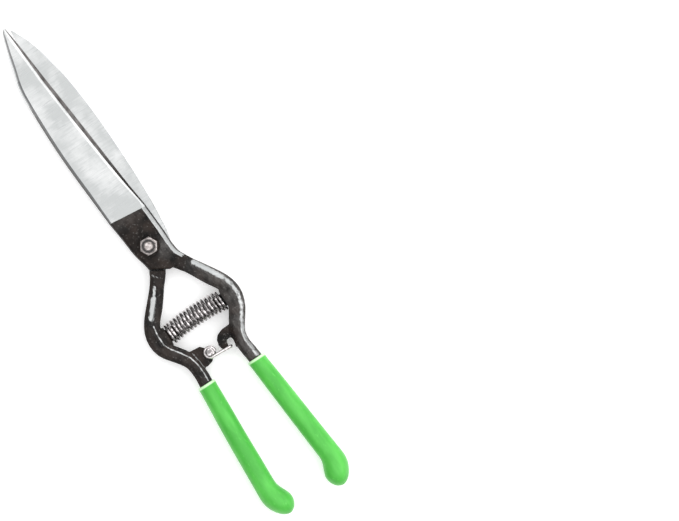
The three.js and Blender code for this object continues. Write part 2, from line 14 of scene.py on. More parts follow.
import bpy
import numpy as np
from mathutils import Euler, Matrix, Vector


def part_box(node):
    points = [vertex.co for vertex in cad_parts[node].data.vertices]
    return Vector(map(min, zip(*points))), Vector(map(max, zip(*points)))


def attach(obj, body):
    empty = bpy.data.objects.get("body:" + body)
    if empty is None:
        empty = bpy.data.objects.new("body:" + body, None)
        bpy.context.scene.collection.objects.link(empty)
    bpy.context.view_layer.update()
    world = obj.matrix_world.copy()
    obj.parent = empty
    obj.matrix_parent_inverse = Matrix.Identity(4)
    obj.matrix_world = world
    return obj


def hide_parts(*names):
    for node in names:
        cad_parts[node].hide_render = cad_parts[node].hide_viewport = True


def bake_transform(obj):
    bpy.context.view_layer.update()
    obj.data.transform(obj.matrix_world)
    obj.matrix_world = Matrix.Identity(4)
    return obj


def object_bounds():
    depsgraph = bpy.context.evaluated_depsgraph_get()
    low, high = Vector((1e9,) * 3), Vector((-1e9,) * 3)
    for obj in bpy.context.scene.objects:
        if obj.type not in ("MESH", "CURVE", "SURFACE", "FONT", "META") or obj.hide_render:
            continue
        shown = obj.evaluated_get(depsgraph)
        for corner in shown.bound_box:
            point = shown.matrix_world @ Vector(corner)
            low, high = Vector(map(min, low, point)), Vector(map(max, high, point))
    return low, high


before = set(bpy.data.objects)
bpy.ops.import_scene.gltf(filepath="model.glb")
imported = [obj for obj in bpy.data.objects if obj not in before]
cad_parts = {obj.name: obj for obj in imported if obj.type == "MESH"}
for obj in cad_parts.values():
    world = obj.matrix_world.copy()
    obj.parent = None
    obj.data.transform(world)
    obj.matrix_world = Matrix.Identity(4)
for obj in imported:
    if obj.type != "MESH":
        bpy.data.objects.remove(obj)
cad_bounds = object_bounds()

LOG = logging.getLogger("shears")
MM = 0.001
MATING_HEIGHT = 8.5
MERGE_DISTANCE = 0.002


class Half(Enum):
    """The two forged halves, by the body that each one is."""

    FRONT = "front_half"
    REAR = "rear_half"

    @property
    def side(self) -> int:
        """Side of the half's handle: 1 for +X and -1 for -X."""
        return 1 if self is Half.FRONT else -1

    @property
    def stem(self) -> str:
        """First word of the names of the half's pieces."""
        return self.value.removesuffix("_half")


# ---------------------------------------------------------------- bench work shared by the pieces


def select_only(piece: bpy.types.Object) -> None:
    """Deselects everything, then selects one object and makes it active."""
    bpy.ops.object.select_all(action="DESELECT")
    piece.select_set(True)
    bpy.context.view_layer.objects.active = piece


def copy_of_node(node: str, name: str) -> bpy.types.Object:
    """Copies a CAD node with its own mesh and merges the copy's loose triangles.

    Args:
        node: The CAD node's name.
        name: The new piece's name.

    Returns:
        The copy, free of any parent.
    """
    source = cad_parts[node]
    piece = bpy.data.objects.new(name, source.data.copy())
    piece.data.name = name
    piece.data.materials.clear()
    bpy.context.scene.collection.objects.link(piece)
    select_only(piece)
    bpy.ops.object.mode_set(mode="EDIT")
    bpy.ops.mesh.select_all(action="SELECT")
    bpy.ops.mesh.remove_doubles(threshold=MERGE_DISTANCE * MM)
    bpy.ops.mesh.customdata_custom_splitnormals_clear()
    bpy.ops.object.mode_set(mode="OBJECT")
    return piece


def cut_away(piece: bpy.types.Object, point: Vector, normal: Vector) -> None:
    """Cuts a piece with a plane, drops what lies past the plane and closes the cut.

    Args:
        piece: The piece to cut.
        point: A point on the plane, in metres.
        normal: The plane's normal, towards what is dropped.
    """
    select_only(piece)
    bpy.ops.object.mode_set(mode="EDIT")
    bpy.ops.mesh.select_all(action="SELECT")
    bpy.ops.mesh.bisect(plane_co=point, plane_no=normal, use_fill=True, clear_outer=True)
    bpy.ops.object.mode_set(mode="OBJECT")


def apply_modifier(piece: bpy.types.Object, kind: str, **settings: object) -> None:
    """Adds one modifier and applies it at once.

    Args:
        piece: The piece to change.
        kind: Blender's name for the kind of modifier.
        settings: The modifier's properties.
    """
    select_only(piece)
    modifier = piece.modifiers.new(kind.lower(), kind)
    for key, value in settings.items():
        setattr(modifier, key, value)
    bpy.ops.object.modifier_apply(modifier=modifier.name)


def smooth_by_angle(piece: bpy.types.Object, degrees: float) -> None:
    """Shades a piece smooth, but for edges sharper than the angle."""
    select_only(piece)
    bpy.ops.object.shade_smooth_by_angle(angle=math.radians(degrees))


def smooth_step(values: np.ndarray, low: float, high: float) -> np.ndarray:
    """Changes values softly from 0 to 1.

    Args:
        values: The values.
        low: Value that gives 0, as do all below it.
        high: Value that gives 1, as do all above it.

    Returns:
        A value from 0 to 1 for each.
    """
    share = np.clip((values - low) / (high - low), 0.0, 1.0)
    return share * share * (3.0 - 2.0 * share)


def points_and_normals(piece: bpy.types.Object) -> tuple[np.ndarray, np.ndarray]:
    """Reads a piece's points and their normals.

    Args:
        piece: The piece.

    Returns:
        The points in millimetres, one a row, and the normals.
    """
    mesh = piece.data
    points = np.empty(3 * len(mesh.vertices), np.float32)
    normals = np.empty_like(points)
    mesh.vertices.foreach_get("co", points)
    mesh.vertices.foreach_get("normal", normals)
    return points.reshape(-1, 3) / MM, normals.reshape(-1, 3)


def store(piece: bpy.types.Object, name: str, values: np.ndarray) -> None:
    """Stores one value for each point of a piece, for its material to read."""
    layer = piece.data.attributes.new(name, "FLOAT", "POINT")
    layer.data.foreach_set("value", values.astype(np.float32))


def soften_node(node: str, width: float) -> bpy.types.Object:
    """Gives a CAD node that keeps its shape rounded edges, by live modifiers.

    Args:
        node: The CAD node's name.
        width: Width of the rounding, in millimetres.

    Returns:
        The CAD node's object.
    """
    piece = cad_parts[node]
    weld = piece.modifiers.new("weld", "WELD")
    weld.merge_threshold = MERGE_DISTANCE * MM
    flat = piece.modifiers.new("flat", "DECIMATE")
    flat.decimate_type = "DISSOLVE"
    flat.angle_limit = math.radians(0.5)
    bevel = piece.modifiers.new("bevel", "BEVEL")
    bevel.width = width * MM
    bevel.segments = 2
    bevel.limit_method = "ANGLE"
    bevel.angle_limit = math.radians(30)
    bevel.harden_normals = True
    smooth_by_angle(piece, 30)
    return piece


def bar_along(name: str, path: list[Vector], radius: float, sides: int) -> bpy.types.Object:
    """Makes a round bar along a path as a bevelled curve turned into a mesh.

    Args:
        name: The piece's name.
        path: Points in metres.
        radius: Radius in millimetres.
        sides: Sides of the section, a multiple of four.

    Returns:
        The piece, a closed smooth mesh.
    """
    bpy.ops.curve.primitive_nurbs_path_add(location=(0, 0, 0))
    piece = bpy.context.active_object
    piece.name = name
    curve = piece.data
    curve.splines.clear()
    spline = curve.splines.new("POLY")
    spline.points.add(len(path) - 1)
    for place, point in zip(path, spline.points):
        point.co = (*place, 1.0)
    curve.dimensions = "3D"
    curve.twist_mode = "MINIMUM"
    curve.bevel_depth = radius * MM
    curve.bevel_resolution = sides // 4 - 1
    curve.use_fill_caps = True
    select_only(piece)
    bpy.ops.object.convert(target="MESH")
    bpy.ops.object.mode_set(mode="EDIT")
    bpy.ops.mesh.select_all(action="SELECT")
    bpy.ops.mesh.remove_doubles(threshold=MERGE_DISTANCE * MM)
    bpy.ops.mesh.normals_make_consistent(inside=False)
    bpy.ops.object.mode_set(mode="OBJECT")
    smooth_by_angle(piece, 40)
    return piece


# ---------------------------------------------------------------- finishes


class NodeSheet:
    """A node tree with short ways to add nodes and links."""

    def __init__(self, tree: bpy.types.NodeTree) -> None:
        """Keeps the tree that nodes are added to."""
        self.tree = tree

    def add(self, kind: str, **values: object) -> bpy.types.Node:
        """Adds a node and sets its properties."""
        node = self.tree.nodes.new(kind)
        for key, value in values.items():
            setattr(node, key, value)
        return node

    def link(self, source: bpy.types.NodeSocket, target: bpy.types.NodeSocket) -> None:
        """Links two sockets."""
        self.tree.links.new(source, target)

    def ramp(self, factor: bpy.types.NodeSocket, low: float, high: float) -> bpy.types.NodeSocket:
        """Turns a value into 0 below low and 1 above high.

        Args:
            factor: The value's socket.
            low: Value that gives 0.
            high: Value that gives 1.

        Returns:
            The result's socket.
        """
        node = self.add("ShaderNodeMapRange", interpolation_type="SMOOTHSTEP")
        node.inputs["From Min"].default_value = low
        node.inputs["From Max"].default_value = high
        self.link(factor, node.inputs["Value"])
        return node.outputs["Result"]

    def between(self, factor: bpy.types.NodeSocket, low: float, high: float) -> bpy.types.NodeSocket:
        """Turns a 0 to 1 value into one from low to high.

        Args:
            factor: The value's socket.
            low: Result for 0.
            high: Result for 1.

        Returns:
            The result's socket.
        """
        node = self.add("ShaderNodeMapRange")
        node.inputs["To Min"].default_value = low
        node.inputs["To Max"].default_value = high
        self.link(factor, node.inputs["Value"])
        return node.outputs["Result"]

    def mix_values(self, factor: bpy.types.NodeSocket, first: bpy.types.NodeSocket,
                   second: bpy.types.NodeSocket | float) -> bpy.types.NodeSocket:
        """Mixes two values.

        Args:
            factor: Socket of the second value's share.
            first: The first value's socket.
            second: The second value, a socket or a number.

        Returns:
            The result's socket.
        """
        node = self.add("ShaderNodeMix", data_type="FLOAT")
        self.link(factor, node.inputs["Factor"])
        self.link(first, node.inputs[2])
        if isinstance(second, bpy.types.NodeSocket):
            self.link(second, node.inputs[3])
        else:
            node.inputs[3].default_value = second
        return node.outputs[0]

    def mix(self, factor: bpy.types.NodeSocket, first: object, second: object) -> bpy.types.NodeSocket:
        """Mixes two colours, each a socket or a tuple.

        Args:
            factor: Socket of the second colour's share.
            first: The first colour.
            second: The second colour.

        Returns:
            The result's socket.
        """
        node = self.add("ShaderNodeMix", data_type="RGBA")
        self.link(factor, node.inputs["Factor"])
        for socket, colour in ((node.inputs[6], first), (node.inputs[7], second)):
            if isinstance(colour, bpy.types.NodeSocket):
                self.link(colour, socket)
            else:
                socket.default_value = (*colour, 1.0)
        return node.outputs[2]


def grain_group() -> bpy.types.NodeTree:
    """Builds the node group that gives stretched noise from the piece's own coordinates.

    Its inputs are Stretch, a scale for each axis in features per metre, Detail and Contrast. Its
    output, Grain, runs from 0 to 1.

    Returns:
        The group, made on the first call.
    """
    name = "surface_grain"
    if name in bpy.data.node_groups:
        return bpy.data.node_groups[name]
    tree = bpy.data.node_groups.new(name, "ShaderNodeTree")
    tree.interface.new_socket("Stretch", in_out="INPUT", socket_type="NodeSocketVector")
    tree.interface.new_socket("Detail", in_out="INPUT", socket_type="NodeSocketFloat")
    tree.interface.new_socket("Contrast", in_out="INPUT", socket_type="NodeSocketFloat")
    tree.interface.new_socket("Grain", in_out="OUTPUT", socket_type="NodeSocketFloat")
    sheet = NodeSheet(tree)
    given = sheet.add("NodeGroupInput")
    result = sheet.add("NodeGroupOutput")
    place = sheet.add("ShaderNodeTexCoord")
    scaled = sheet.add("ShaderNodeVectorMath", operation="MULTIPLY")
    noise = sheet.add("ShaderNodeTexNoise", noise_dimensions="3D")
    noise.inputs["Scale"].default_value = 1.0
    centred = sheet.add("ShaderNodeMath", operation="SUBTRACT")
    centred.inputs[1].default_value = 0.5
    stronger = sheet.add("ShaderNodeMath", operation="MULTIPLY_ADD", use_clamp=True)
    stronger.inputs[2].default_value = 0.5
    sheet.link(place.outputs["Object"], scaled.inputs[0])
    sheet.link(given.outputs["Stretch"], scaled.inputs[1])
    sheet.link(scaled.outputs[0], noise.inputs["Vector"])
    sheet.link(given.outputs["Detail"], noise.inputs["Detail"])
    sheet.link(noise.outputs["Fac"], centred.inputs[0])
    sheet.link(centred.outputs[0], stronger.inputs[0])
    sheet.link(given.outputs["Contrast"], stronger.inputs[1])
    sheet.link(stronger.outputs[0], result.inputs["Grain"])
    return tree


@dataclass(frozen=True)
class Finish:
    """A surface finish. Each kind of finish adds its own nodes to the shared start."""

    name: str

    def start(self) -> tuple[bpy.types.Material, NodeSheet, bpy.types.Node]:
        """Makes an empty Principled material.

        Returns:
            The material, its node sheet and its Principled node.
        """
        material = bpy.data.materials.new(self.name)
        material.use_nodes = True
        sheet = NodeSheet(material.node_tree)
        return material, sheet, material.node_tree.nodes["Principled BSDF"]

    @staticmethod
    def grain(sheet: NodeSheet, per_mm: tuple[float, float, float], detail: float = 3.0,
              contrast: float = 2.0) -> bpy.types.NodeSocket:
        """Places the grain group.

        Args:
            sheet: The material's node sheet.
            per_mm: Features per millimetre along each axis.
            detail: Octaves of finer noise.
            contrast: How strongly the noise is spread about its middle.

        Returns:
            The Grain socket.
        """
        node = sheet.add("ShaderNodeGroup", node_tree=grain_group())
        node.inputs["Stretch"].default_value = tuple(value / MM for value in per_mm)
        node.inputs["Detail"].default_value = detail
        node.inputs["Contrast"].default_value = contrast
        return node.outputs["Grain"]

    @staticmethod
    def spread(sheet: NodeSheet, factor: bpy.types.NodeSocket, low: float, high: float,
               target: bpy.types.NodeSocket) -> None:
        """Feeds a 0 to 1 value into a socket as a value from low to high."""
        sheet.link(sheet.between(factor, low, high), target)

    @staticmethod
    def bare_steel(sheet: NodeSheet, bright: tuple[float, float, float],
                   dull: tuple[float, float, float]) -> bpy.types.Node:
        """Places the bare steel group.

        Args:
            sheet: The material's node sheet.
            bright: Colour of the bare steel.
            dull: Colour of its clouds and lines.

        Returns:
            The group's node.
        """
        node = sheet.add("ShaderNodeGroup", node_tree=bare_steel_group())
        node.inputs["Bright"].default_value = (*bright, 1.0)
        node.inputs["Dull"].default_value = (*dull, 1.0)
        return node

    @staticmethod
    def bump(sheet: NodeSheet, height: bpy.types.NodeSocket, depth: float, shader: bpy.types.Node) -> None:
        """Feeds a height into the shader's normal.

        Args:
            sheet: The material's node sheet.
            height: Socket of the height, from 0 to 1.
            depth: The full height in millimetres.
            shader: The Principled node.
        """
        node = sheet.add("ShaderNodeBump")
        node.inputs["Strength"].default_value = 1.0
        node.inputs["Distance"].default_value = depth * MM
        sheet.link(height, node.inputs["Height"])
        sheet.link(node.outputs["Normal"], shader.inputs["Normal"])


def bare_steel_group() -> bpy.types.NodeTree:
    """Builds the node group for bare ground steel, with grinding lines across the blade.

    Its inputs are Bright and Dull, the colours of the steel and of its clouds. Its outputs are
    Colour, Roughness and Height, each changing over the surface.

    Returns:
        The group, made on the first call.
    """
    name = "bare_steel"
    if name in bpy.data.node_groups:
        return bpy.data.node_groups[name]
    tree = bpy.data.node_groups.new(name, "ShaderNodeTree")
    for colour in ("Bright", "Dull"):
        tree.interface.new_socket(colour, in_out="INPUT", socket_type="NodeSocketColor")
    tree.interface.new_socket("Colour", in_out="OUTPUT", socket_type="NodeSocketColor")
    tree.interface.new_socket("Roughness", in_out="OUTPUT", socket_type="NodeSocketFloat")
    tree.interface.new_socket("Height", in_out="OUTPUT", socket_type="NodeSocketFloat")
    sheet = NodeSheet(tree)
    given = sheet.add("NodeGroupInput")
    result = sheet.add("NodeGroupOutput")
    lines = Finish.grain(sheet, (0.09, 2.6, 0.5), 5.0, 2.2)
    clouds = Finish.grain(sheet, (0.06, 0.05, 0.05), 5.0, 3.6)
    scratches = sheet.ramp(Finish.grain(sheet, (0.13, 1.0, 0.4), 3.0, 2.2), 0.45, 1.0)
    shade = clouds
    for marks, share in ((lines, 0.3), (scratches, 0.35)):
        added = sheet.add("ShaderNodeMath", operation="MULTIPLY_ADD", use_clamp=True)
        added.inputs[1].default_value = share
        sheet.link(marks, added.inputs[0])
        sheet.link(shade, added.inputs[2])
        shade = added.outputs[0]
    sheet.link(sheet.mix(shade, given.outputs["Bright"], given.outputs["Dull"]), result.inputs["Colour"])
    Finish.spread(sheet, lines, 0.24, 0.42, result.inputs["Roughness"])
    sheet.link(lines, result.inputs["Height"])
    return tree


BARE_BRIGHT = (0.51, 0.516, 0.516)
BARE_DULL = (0.36, 0.37, 0.37)


@dataclass(frozen=True)
class GroundSteel(Finish):
    """Bright steel with fine grinding lines across the blade."""

    name: str = "ground_steel"
    bright: tuple[float, float, float] = BARE_BRIGHT
    dull: tuple[float, float, float] = BARE_DULL

    def build(self) -> bpy.types.Material:
        """Builds the material.

        Returns:
            The material.
        """
        material, sheet, shader = self.start()
        shader.inputs["Metallic"].default_value = 1.0
        steel = self.bare_steel(sheet, self.bright, self.dull)
        sheet.link(steel.outputs["Colour"], shader.inputs["Base Color"])
        sheet.link(steel.outputs["Roughness"], shader.inputs["Roughness"])
        self.bump(sheet, steel.outputs["Height"], 0.004, shader)
        return material


@dataclass(frozen=True)
class ForgedBlack(Finish):
    """Oil-blackened forged skin: near black, with pale specks, rubbed through to steel in places.

    It reads two values from the piece: bare, how far the skin is ground or worn off to steel, where
    the worn lines along chamfers are partly painted highlights, and thin, how far it is
    greyed, partly as rubbed skin and mostly as a painted sheen where light falls on the shanks.
    """

    name: str = "forged_black"
    deep: tuple[float, float, float] = (0.003, 0.003, 0.003)
    brown: tuple[float, float, float] = (0.026, 0.019, 0.016)
    speck: tuple[float, float, float] = (0.10, 0.095, 0.09)
    # Grey that the skin turns to: partly rubbed skin, mostly painted sheen.
    rubbed: tuple[float, float, float] = (0.20, 0.19, 0.185)
    bright: tuple[float, float, float] = BARE_BRIGHT
    dull: tuple[float, float, float] = BARE_DULL

    def build(self) -> bpy.types.Material:
        """Builds the material.

        Returns:
            The material.
        """
        material, sheet, shader = self.start()
        shader.inputs["Specular IOR Level"].default_value = 0.08
        patches = self.grain(sheet, (0.12, 0.12, 0.12), 5.0, 3.6)
        skin = self.grain(sheet, (1.1, 1.1, 1.1), 4.0, 2.2)
        specks = sheet.ramp(self.grain(sheet, (0.8, 0.8, 0.8), 4.0, 1.8), 0.62, 1.0)
        edge = self.grain(sheet, (0.9, 0.5, 0.9), 4.0, 2.0)
        body = sheet.mix(patches, self.deep, self.brown)
        body = sheet.mix(specks, body, self.speck)
        # Greying of the skin: mostly a painted sheen where light falls on the shanks, partly rubbed skin.
        thin = sheet.add("ShaderNodeMath", operation="MULTIPLY", use_clamp=True)
        sheet.link(sheet.add("ShaderNodeAttribute", attribute_name="thin").outputs["Fac"], thin.inputs[0])
        self.spread(sheet, self.grain(sheet, (0.5, 0.18, 0.5), 3.0, 2.6), 0.25, 1.0, thin.inputs[1])
        body = sheet.mix(thin.outputs[0], body, self.rubbed)
        # Bare steel: ground faces and worn lines, the lines partly painted highlights along chamfers.
        bare = sheet.add("ShaderNodeMath", operation="MULTIPLY_ADD")
        bare.inputs[1].default_value = 0.7
        sheet.link(edge, bare.inputs[0])
        sheet.link(sheet.add("ShaderNodeAttribute", attribute_name="bare").outputs["Fac"], bare.inputs[2])
        worn = sheet.ramp(bare.outputs[0], 0.62, 1.22)
        steel = self.bare_steel(sheet, self.bright, self.dull)
        sheet.link(sheet.mix(worn, body, steel.outputs["Colour"]), shader.inputs["Base Color"])
        self.spread(sheet, worn, 0.05, 1.0, shader.inputs["Metallic"])
        rough = sheet.between(skin, 0.34, 0.56)
        sheet.link(sheet.mix_values(worn, rough, steel.outputs["Roughness"]), shader.inputs["Roughness"])
        self.bump(sheet, sheet.mix_values(worn, skin, 0.5), 0.05, shader)
        return material


@dataclass(frozen=True)
class GreenVinyl(Finish):
    """Soft dip-moulded vinyl, evenly coloured, with a faint pebble in its shine.

    It reads one value from the piece: lip, how near a point is to the sleeve's open end, where the
    pale rim colour is a painted highlight.
    """

    name: str = "green_vinyl"
    light: tuple[float, float, float] = (0.100, 0.54, 0.075)
    deep: tuple[float, float, float] = (0.062, 0.41, 0.048)
    # Pale green of the painted highlight on the lip.
    rim: tuple[float, float, float] = (0.62, 0.96, 0.55)

    def build(self) -> bpy.types.Material:
        """Builds the material.

        Returns:
            The material.
        """
        material, sheet, shader = self.start()
        shader.inputs["Specular IOR Level"].default_value = 0.35
        clouds = self.grain(sheet, (0.16, 0.04, 0.16), 3.0, 3.0)
        pebble = self.grain(sheet, (1.3, 1.3, 1.3), 2.0, 1.5)
        scuffs = sheet.ramp(self.grain(sheet, (0.7, 0.25, 0.7), 4.0, 1.8), 0.68, 0.95)
        body = sheet.mix(clouds, self.light, self.deep)
        body = sheet.mix(scuffs, body, self.light)
        # The lip takes the pale rim colour, a painted highlight.
        lip = sheet.add("ShaderNodeAttribute", attribute_name="lip").outputs["Fac"]
        sheet.link(sheet.mix(lip, body, self.rim), shader.inputs["Base Color"])
        self.spread(sheet, pebble, 0.32, 0.46, shader.inputs["Roughness"])
        self.bump(sheet, pebble, 0.012, shader)
        return material


@dataclass(frozen=True)
class PlatedSteel(Finish):
    """Small plated steel parts, pinkish grey, with dull spots in the plating."""

    name: str = "plated_steel"
    bright: tuple[float, float, float] = (0.52, 0.48, 0.47)
    dull: tuple[float, float, float] = (0.15, 0.13, 0.125)

    def build(self) -> bpy.types.Material:
        """Builds the material.

        Returns:
            The material.
        """
        material, sheet, shader = self.start()
        shader.inputs["Metallic"].default_value = 1.0
        spots = self.grain(sheet, (0.7, 0.7, 0.7), 3.0, 2.4)
        sheet.link(sheet.mix(spots, self.bright, self.dull), shader.inputs["Base Color"])
        self.spread(sheet, spots, 0.2, 0.42, shader.inputs["Roughness"])
        self.bump(sheet, spots, 0.01, shader)
        return material


@dataclass(frozen=True)
class SpringBlack(Finish):
    """Glossy oil-tempered wire: black, with rubbed grey spots."""

    name: str = "spring_black"
    deep: tuple[float, float, float] = (0.20, 0.19, 0.19)
    worn: tuple[float, float, float] = (0.80, 0.76, 0.76)

    def build(self) -> bpy.types.Material:
        """Builds the material.

        Returns:
            The material.
        """
        material, sheet, shader = self.start()
        shader.inputs["Metallic"].default_value = 1.0
        spots = sheet.ramp(self.grain(sheet, (0.5, 0.5, 0.5), 3.0, 2.0), 0.35, 0.8)
        sheet.link(sheet.mix(spots, self.deep, self.worn), shader.inputs["Base Color"])
        self.spread(sheet, spots, 0.15, 0.28, shader.inputs["Roughness"])
        return material


@dataclass(frozen=True)
class LockNylon(Finish):
    """Dark moulded nylon of the nut's locking ring."""

    name: str = "lock_nylon"
    colour: tuple[float, float, float] = (0.02, 0.018, 0.018)
    rubbed: tuple[float, float, float] = (0.05, 0.045, 0.045)

    def build(self) -> bpy.types.Material:
        """Builds the material.

        Returns:
            The material.
        """
        material, sheet, shader = self.start()
        spots = self.grain(sheet, (1.2, 1.2, 1.2), 2.0, 2.0)
        sheet.link(sheet.mix(spots, self.colour, self.rubbed), shader.inputs["Base Color"])
        self.spread(sheet, spots, 0.45, 0.65, shader.inputs["Roughness"])
        return material


@dataclass
class Finishes:
    """The built materials."""

    ground: bpy.types.Material
    honed: bpy.types.Material
    forged: bpy.types.Material
    vinyl: bpy.types.Material
    plated: bpy.types.Material
    wire: bpy.types.Material
    spring: bpy.types.Material
    nylon: bpy.types.Material

    @classmethod
    def build(cls) -> Finishes:
        """Builds every finish once.

        Returns:
            All of them.
        """
        honed = GroundSteel(name="honed_steel", bright=(0.68, 0.68, 0.68), dull=(0.52, 0.53, 0.53))
        wire = PlatedSteel(name="plated_wire", bright=(0.86, 0.82, 0.82), dull=(0.40, 0.37, 0.37))
        return cls(GroundSteel().build(), honed.build(), ForgedBlack().build(), GreenVinyl().build(),
                   PlatedSteel().build(), wire.build(), SpringBlack().build(), LockNylon().build())


def dress(piece: bpy.types.Object, *materials: bpy.types.Material) -> None:
    """Gives a piece its materials.

    Args:
        piece: The piece.
        materials: Its materials, in the order of its slots.
    """
    piece.data.materials.clear()
    for material in materials:
        piece.data.materials.append(material)


def seat(piece: bpy.types.Object, body: str, node: str) -> None:
    """Makes a piece ride a body and stand for a CAD node.

    Args:
        piece: The piece.
        body: The CAD body's name.
        node: The CAD node that the piece replaces.
    """
    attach(piece, body)
    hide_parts(node)


# ---------------------------------------------------------------- forged halves


@dataclass(frozen=True)
class RubbedLine:
    """A line on the side towards +Z where the skin is bright steel: partly rubbed through, partly a
    painted highlight where light falls along chamfers, the flute and a crease.
    """

    points: tuple[tuple[float, float], ...]
    half_width: float
    strength: float = 1.0
    least_rise: float = 0.4

    def worn(self, points: np.ndarray, normals: np.ndarray) -> np.ndarray:
        """Wear and painted highlight at each point.

        Args:
            points: Points in millimetres.
            normals: Their normals.

        Returns:
            A value from 0 to strength for each point.
        """
        flat = points[:, :2]
        nearest = np.full(len(flat), np.inf)
        for start, end in zip(self.points, self.points[1:]):
            first, along = np.array(start), np.subtract(end, start)
            share = np.clip((flat - first) @ along / (along @ along), 0.0, 1.0)
            nearest = np.minimum(nearest, np.linalg.norm(flat - first - share[:, None] * along, axis=1))
        inside = 1.0 - smooth_step(nearest, 0.3 * self.half_width, 1.7 * self.half_width)
        return self.strength * inside * smooth_step(normals[:, 2], self.least_rise, self.least_rise + 0.2)


# Lines of bare steel along chamfers, the rear flute, a crease and the lug: partly rubbed skin, partly
# painted highlights where light falls.
FRONT_WEAR_AND_HIGHLIGHTS = (
    RubbedLine(((17.2, -22.8), (20.8, -28.8), (24.3, -35.0), (26.4, -39.2)), 1.5, 1.1, 0.5),
    RubbedLine(((27.0, -40.4), (29.1, -46), (29.3, -53), (27.0, -60.5), (21.9, -68.2), (18.6, -75),
                (17.9, -80), (18.5, -90)), 1.2, 0.78, 0.5),
)
REAR_WEAR_AND_HIGHLIGHTS = (
    RubbedLine(((-10.8, -22.6), (-14.6, -27.4), (-18.0, -31.6)), 0.9, 0.85, 0.5),
    RubbedLine(((-15.2, -28.1), (-19.4, -33.2), (-22.8, -37.4)), 1.55, 1.15, 0.5),
    RubbedLine(((-24.2, -42), (-25.2, -48), (-25.0, -55), (-22.8, -59.6), (-19.2, -64.6), (-16.0, -70),
                (-14.6, -75.4), (-14.2, -81), (-14.6, -87)), 0.42, 0.78, 0.3),
    RubbedLine(((-8.2, -15.6), (-6.4, -18.4), (-3.6, -20.6)), 0.6, 0.5, 0.3),
    RubbedLine(((-13.7, -68.4), (-12.7, -73.7), (-12.2, -79)), 0.4, 0.62, 0.1),
)


